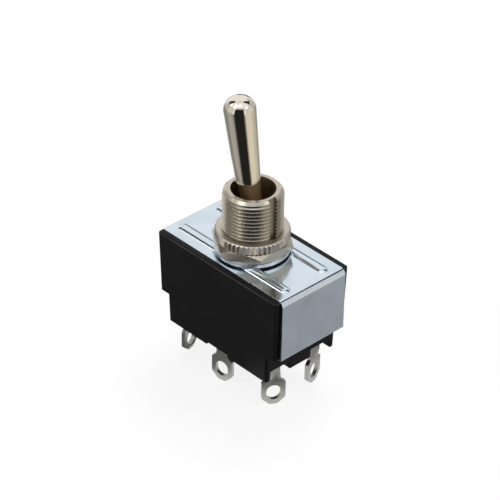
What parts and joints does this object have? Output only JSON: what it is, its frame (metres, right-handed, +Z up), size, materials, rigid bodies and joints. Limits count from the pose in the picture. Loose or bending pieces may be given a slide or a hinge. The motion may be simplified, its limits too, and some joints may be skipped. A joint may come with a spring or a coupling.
{
  "type": "panel toggle switch",
  "caption": "Panel toggle switch: bat lever in a threaded bushing with nuts and washer, sheet frame over a black moulded base with solder lugs.",
  "frame": {"origin": "on the axis of the threaded bushing, level with the lower ends of the solder lugs, midway along and across the body", "axes": "+Z up along the bushing axis to the lever side; X along the body, with the keyway side of the bushing at +X; Y across the two poles; the lever swings about Y and leans to -X at rest"},
  "size_m": [0.0342, 0.0192, 0.0601],
  "materials": {
    "black_phenolic": "moulded thermoset, semi-gloss, fine mottle",
    "zinc_plate": "bright zinc plated sheet steel, blue-white",
    "nickel_plate": "bright nickel plated brass",
    "zinc_washer": "bright zinc plated spring steel",
    "grey_fibre": "vulcanised fibre sheet",
    "pin_steel": "ground steel",
    "natural_nylon": "moulded nylon",
    "spring_steel": "music wire",
    "plunger_brass": "turned brass, burnished end",
    "arm_copper": "rolled copper alloy",
    "contact_silver": "silver alloy button",
    "tinned_brass": "tin plated brass sheet"
  },
  "bodies": {
    "root": {"base": "black_phenolic", "frame": "zinc_plate", "insulator": "grey_fibre", "bushing": "nickel_plate", "lock_washer": "zinc_washer", "hex_nut": "nickel_plate", "knurled_nut": "nickel_plate", "terminal_near_common": "tinned_brass", "terminal_near_left": "tinned_brass", "fixed_contact_near_left": "contact_silver", "terminal_near_right": "tinned_brass", "fixed_contact_near_right": "contact_silver", "terminal_far_common": "tinned_brass", "terminal_far_left": "tinned_brass", "fixed_contact_far_left": "contact_silver", "terminal_far_right": "tinned_brass", "fixed_contact_far_right": "contact_silver"},
    "lever": {"lever": "nickel_plate", "pivot_pin": "pin_steel", "carrier": "natural_nylon", "spring_near": "spring_steel", "spring_far": "spring_steel"},
    "plunger_near": {"plunger_near": "plunger_brass"},
    "plunger_far": {"plunger_far": "plunger_brass"},
    "rocker_near": {"rocker_near": "arm_copper", "moving_contact_near_left": "contact_silver", "moving_contact_near_right": "contact_silver"},
    "rocker_far": {"rocker_far": "arm_copper", "moving_contact_far_left": "contact_silver", "moving_contact_far_right": "contact_silver"}
  },
  "joints": [
    {"name": "lever_tilt", "type": "hinge", "parent": "root", "child": "lever", "pos_m": [0, 0, 0.0342], "axis": [0, 1, 0], "range_deg": [0, 19.8]},
    {"name": "plunger_slide_near", "type": "slide", "parent": "lever", "child": "plunger_near", "axis": [-0.1719, 0, 0.9851], "range_m": [0, 0.0006], "stiffness_N_per_m": 800, "springref_m": -0.0015, "deforming": ["spring_near"]},
    {"name": "rocker_tilt_near", "type": "hinge", "parent": "root", "child": "rocker_near", "pos_m": [0, -0.0053, 0.0161], "axis": [0, 1, 0], "range_deg": [-8.4, 0]},
    {"name": "plunger_slide_far", "type": "slide", "parent": "lever", "child": "plunger_far", "axis": [-0.1719, 0, 0.9851], "range_m": [0, 0.0006], "stiffness_N_per_m": 800, "springref_m": -0.0015, "deforming": ["spring_far"]},
    {"name": "rocker_tilt_far", "type": "hinge", "parent": "root", "child": "rocker_far", "pos_m": [0, 0.0053, 0.0161], "axis": [0, 1, 0], "range_deg": [-8.4, 0]}
  ],
  "couplings": [
    {"joint": "rocker_tilt_near", "follows": "lever_tilt", "ratio": -0.42424},
    {"joint": "rocker_tilt_far", "follows": "lever_tilt", "ratio": -0.42424}
  ]
}
